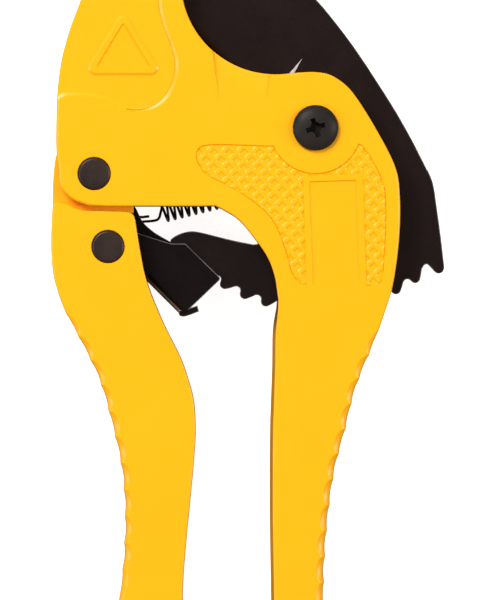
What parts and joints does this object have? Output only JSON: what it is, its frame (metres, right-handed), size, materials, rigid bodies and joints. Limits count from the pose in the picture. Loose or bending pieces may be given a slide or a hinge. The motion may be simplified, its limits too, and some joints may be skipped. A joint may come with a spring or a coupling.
{
  "type": "ratchet pipe cutter",
  "caption": "Hand ratchet cutter for plastic pipe: hooked seat, pivoting toothed blade, squeeze lever with a folded pawl and return spring.",
  "frame": {"origin": "centre of the bounding box's bottom face, on the plane the tool's back lies on", "axes": "+Y from the handle ends to the hook, +Z from the back face to the screw-head side, +X from the moving lever to the fixed handle"},
  "size_m": [0.0988, 0.2098, 0.0246],
  "materials": {
    "yellow_paint": "gloss paint",
    "blade_steel": "satin",
    "pawl_steel": "satin",
    "pin_steel": "satin",
    "zinc_steel": "satin",
    "spring_steel": "satin"
  },
  "bodies": {
    "body": {"body_casting": "yellow_paint", "pivot_screw": "pin_steel", "pivot_sleeve": "zinc_steel", "pivot_nut": "zinc_steel", "pivot_nut_washer": "zinc_steel", "blade_washer_front": "zinc_steel", "blade_washer_back": "zinc_steel", "lever_pin": "pin_steel", "lever_pin_clip": "zinc_steel", "lever_washer_front": "zinc_steel", "lever_washer_back": "zinc_steel", "spring_post_body": "zinc_steel", "return_spring": "spring_steel", "latch_rivet": "zinc_steel", "latch_spacer_front": "zinc_steel", "latch_spacer_back": "zinc_steel"},
    "blade": {"blade": "blade_steel"},
    "lever": {"lever_casting": "yellow_paint", "pawl_pin": "pin_steel", "pawl_pin_clip": "zinc_steel", "pawl_spacer_front": "zinc_steel", "pawl_spacer_back": "zinc_steel", "spring_post_lever": "zinc_steel", "latch_catch_pin": "zinc_steel"},
    "pawl": {"pawl": "pawl_steel"},
    "latch": {"latch_plate": "zinc_steel"}
  },
  "joints": [
    {"name": "blade_pivot", "type": "hinge", "parent": "body", "child": "blade", "pos_m": [0.01696, 0.0416, 0.011], "axis": [0, 0, -1], "range_deg": [0, 69]},
    {"name": "lever_pivot", "type": "hinge", "parent": "body", "child": "lever", "pos_m": [-0.03839, 0.03015, 0.011], "axis": [0, 0, -1], "range_deg": [0, 38], "stiffness_Nm_per_rad": 0.05, "deforming": ["return_spring"]},
    {"name": "pawl_pivot", "type": "hinge", "parent": "lever", "child": "pawl", "pos_m": [-0.03494, 0.0119, 0.011], "axis": [0, 0, 1], "range_deg": [0, 13]},
    {"name": "latch_pivot", "type": "hinge", "parent": "body", "child": "latch", "pos_m": [0.01076, -0.0944, 0.011], "axis": [0, 0, 1], "range_deg": [0, 90]}
  ]
}
